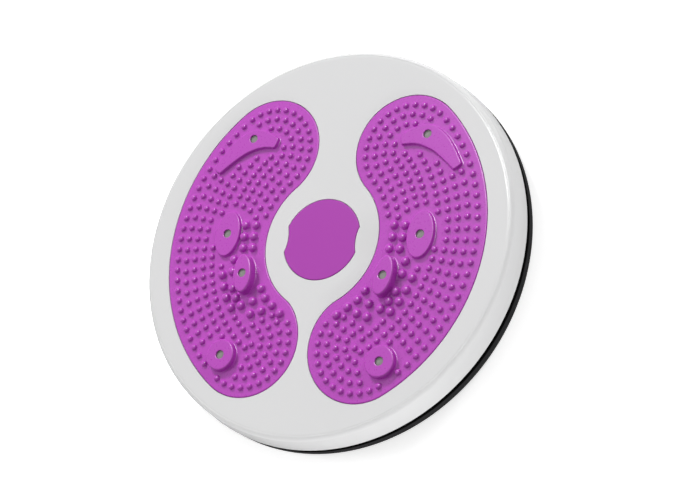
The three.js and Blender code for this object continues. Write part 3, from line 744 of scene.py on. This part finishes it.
# Eight small sintered ferrite discs, one under the window of each raised form, with a ground face and a
# small chamfer. They sit on seats of the shell.
magnet_thickness = 2
magnet_depth = 1.0
magnet_grey = moulded("magnet_grey", (152, 155, 148), (138, 141, 135), (0.45, 0.6), 1600.0, 0.03,
                      patch=300.0, specular=0.2)
magnet = bmesh.new()
turned(magnet, rounded([(0, -magnet_thickness, 0), (magnet_radius, -magnet_thickness, 0.3),
                        (magnet_radius, 0, 0.35), (0, 0, 0)], steps=2), 40)
bmesh.ops.recalc_face_normals(magnet, faces=magnet.faces)
places = [((side * x, y, pad_top + rise - magnet_depth), (1, 1, 1))
          for outline, (x, y), rise, soft, clear in forms for side in (1, -1)]
dressed("magnet_discs", scattered("magnet_discs", magnet, places, magnet_grey), magnet_grey, "platform",
        [f"{side}_{form}_magnet" for side in ("right", "left")
                        for form in ("toe", "instep", "arch", "heel")])

# Centre badge

# A flat purple inlay between the pads, round with a notch left and right where the pads' waists curve past.
# It is a separate satin moulding in a slightly darker purple, pressed into a pocket of its own.
badge_under, badge_top = 29.5, 31.0
badge_purple = moulded("badge_purple", (182, 73, 184), (176, 67, 178), (0.34, 0.44), 600.0, 0.02, patch=14.0,
                       specular=0.2)
badge = bmesh.new()
edge = [ring_of(badge, badge_outline(-inset), height) for inset, height in [
    (0.2, badge_under), (0, badge_under + 0.2), (0, badge_top - 0.4), (0.06, badge_top - 0.2),
    (0.2, badge_top - 0.06), (0.4, badge_top), (0.8, badge_top)]]
skin(badge, edge)
filled(badge, [edge[-1]])
filled(badge, [edge[0]])
piece("badge_inlay", badge, badge_purple, "platform", ["centre_badge"])

# Pivot screw and washer

# A zinc-plated washer under the base's panel and a pan-head screw with a cross recess, driven up into the
# platform's boss. Together they keep the platform on its base.
washer_bore, washer_radius, washer_under, washer_top = 2.7, 14, 5.1, 6.6
head_foot, head_radius, head_seat, shank_radius = 2.4, 5.2, 4.8, 2.4
head_crown, shank_end, screw_tip = 4.4, 20.4, 21.9
recess_half = 0.55
zinc = moulded("zinc_plate", (188, 190, 193), (172, 175, 178), (0.24, 0.34), 900.0, 0.01, patch=60.0,
               metallic=1.0)
washer = bmesh.new()
turned(washer, rounded([(washer_bore, washer_under, 0.2), (washer_radius, washer_under, 0.35),
                        (washer_radius, washer_top, 0.2), (washer_bore, washer_top, 0.1)], steps=3), 96)
piece("round_washer", washer, zinc, "platform", ["retaining_washer"])
screw = bmesh.new()
turned(screw, rounded([
    (0, head_foot, 0), (head_crown, head_foot + 0.1, 1.4), (head_radius, head_seat, 0.3),
    (shank_radius, head_seat, 0), (shank_radius, shank_end, 0.6), (0, screw_tip, 0)], steps=5), 64)
bmesh.ops.remove_doubles(screw, verts=screw.verts, dist=1e-7)
bmesh.ops.recalc_face_normals(screw, faces=screw.faces)
screw_mesh = bpy.data.meshes.new("screw_blank")
screw.to_mesh(screw_mesh)
screw.free()
blank = bpy.data.objects.new("screw_blank", screw_mesh)
recess = bmesh.new()
ends = []
for height, reach in ((1.0, 2.5), (3.8, 1.1)):
    arm = [(reach, -recess_half), (reach, recess_half), (recess_half, recess_half)]
    ends.append(ring_of(recess, [(x * math.cos(a) - y * math.sin(a), x * math.sin(a) + y * math.cos(a))
                                 for a in (0, math.pi / 2, math.pi, -math.pi / 2) for x, y in arm], height))
skin(recess, ends)
for end in ends:
    recess.faces.new(end)
bmesh.ops.recalc_face_normals(recess, faces=recess.faces)
recess_mesh = bpy.data.meshes.new("recess")
recess.to_mesh(recess_mesh)
recess.free()
cutter = bpy.data.objects.new("recess", recess_mesh)
for obj in (blank, cutter):
    bpy.context.scene.collection.objects.link(obj)
cut = blank.modifiers.new("recess", "BOOLEAN")
cut.operation = "DIFFERENCE"
cut.solver = "EXACT"
cut.object = cutter
bpy.context.view_layer.update()
screw_done = bpy.data.meshes.new_from_object(blank.evaluated_get(bpy.context.evaluated_depsgraph_get()))
for obj in (blank, cutter):
    bpy.data.objects.remove(obj)
dressed("pan_head_screw", screw_done, zinc, "platform", ["pivot_screw"], crisp=30)

# Floor, light and camera

# A white floor that runs out into a white world, and the camera where the photograph was taken from. The
# key lamp stands behind the disc, with a soft one on its left and a weak one behind its right, and two high
# ones show in gloss alone. Two low strips, like the bright edge of a backdrop, light the shell and the base.
floor_reach = 4
floor_white, floor_glow = 0.8, 0.7
world_light, world_white = 0.3, 1.0
floor_mesh = bpy.data.meshes.new("floor")
floor_mesh.from_pydata([(-floor_reach, -floor_reach, 0), (floor_reach, -floor_reach, 0),
                        (floor_reach, floor_reach, 0), (-floor_reach, floor_reach, 0)],
                       [], [(0, 1, 2, 3)])
floor = bpy.data.objects.new("floor", floor_mesh)
bpy.context.scene.collection.objects.link(floor)
paper = bpy.data.materials.new("floor_white")
paper.use_nodes = True
nodes, links = paper.node_tree.nodes, paper.node_tree.links
nodes.clear()
matt = nodes.new("ShaderNodeBsdfDiffuse")
matt.inputs["Color"].default_value = (floor_white, floor_white, floor_white, 1)
glow = nodes.new("ShaderNodeEmission")
rays = nodes.new("ShaderNodeLightPath")
level = nodes.new("ShaderNodeMath")
level.operation = "MULTIPLY"
level.inputs[1].default_value = floor_glow
both = nodes.new("ShaderNodeAddShader")
out = nodes.new("ShaderNodeOutputMaterial")
links.new(rays.outputs["Is Camera Ray"], level.inputs[0])
links.new(level.outputs[0], glow.inputs["Strength"])
links.new(matt.outputs[0], both.inputs[0])
links.new(glow.outputs[0], both.inputs[1])
links.new(both.outputs[0], out.inputs["Surface"])
floor_mesh.materials.append(paper)

world = bpy.data.worlds.new("studio")
bpy.context.scene.world = world
world.use_nodes = True
nodes, links = world.node_tree.nodes, world.node_tree.links
sky = nodes["Background"]
sky.inputs["Color"].default_value = (1, 1, 1, 1)
rays = nodes.new("ShaderNodeLightPath")
seen = nodes.new("ShaderNodeMath")
seen.operation = "MAXIMUM"
also = nodes.new("ShaderNodeMath")
also.operation = "MAXIMUM"
strength = nodes.new("ShaderNodeMapRange")
strength.inputs["To Min"].default_value = world_light
strength.inputs["To Max"].default_value = world_white
links.new(rays.outputs["Is Camera Ray"], seen.inputs[0])
links.new(rays.outputs["Is Glossy Ray"], seen.inputs[1])
links.new(seen.outputs[0], also.inputs[0])
links.new(rays.outputs["Is Transmission Ray"], also.inputs[1])
links.new(also.outputs[0], strength.inputs["Value"])
links.new(strength.outputs["Result"], sky.inputs["Strength"])


def lamp(name, azimuth, elevation, distance, size, power, glossy=True, diffuse=True, only=()):
    """A soft lamp that faces the disc's centre, for gloss, for plain light, or for some pieces only."""
    light = bpy.data.lights.new(name, "AREA")
    light.shape = "RECTANGLE"
    light.size, light.size_y = size
    light.energy = power
    obj = bpy.data.objects.new(name, light)
    bpy.context.scene.collection.objects.link(obj)
    a, e = math.radians(azimuth), math.radians(elevation)
    obj.location = (distance * math.cos(e) * math.cos(a), distance * math.cos(e) * math.sin(a),
                    distance * math.sin(e))
    obj.rotation_euler = Vector(obj.location).to_track_quat("Z", "Y").to_euler()
    obj.visible_camera = False
    obj.visible_glossy = glossy
    obj.visible_diffuse = diffuse
    if only:
        lit = bpy.data.collections.new(name)
        for label in only:
            lit.objects.link(bpy.data.objects[label])
        obj.light_linking.receiver_collection = lit


lamp("key_light", 124, 30, 4.0, (0.6, 0.6), 114, glossy=False)
lamp("left_light", 180, 40, 4.0, (1.0, 1.0), 32, glossy=False)
lamp("gloss_light", 100, 60, 4.0, (0.8, 0.8), 110, diffuse=False)
lamp("mirror_light", 149, 56, 3.0, (1.8, 1.8), 5, diffuse=False)
lamp("back_light", 55, 22, 4.0, (0.8, 0.4), 40, glossy=False)
shell_and_base = ("white_platform", "base_moulding")
lamp("right_strip", 55, 4, 1.0, (1.0, 0.008), 2.5, glossy=False, only=shell_and_base)
lamp("front_strip", -62, 10, 1.0, (1.0, 0.008), 7.0, glossy=False, only=shell_and_base)

camera_turns = (21.8525, 26.7895, 10.6052)
camera = bpy.data.objects.new("camera", bpy.data.cameras.new("camera"))
bpy.context.scene.collection.objects.link(camera)
bpy.context.scene.camera = camera
camera.data.sensor_width = 36
camera.data.lens = 87.68
camera.data.clip_start = 0.01
camera.data.shift_x = -0.0010
camera.data.shift_y = 0.0009
camera.location = (0.5639, -0.3331, 0.9638)
camera.rotation_euler = [math.radians(turn_to) for turn_to in camera_turns]

bpy.context.scene.view_settings.view_transform = "Standard"
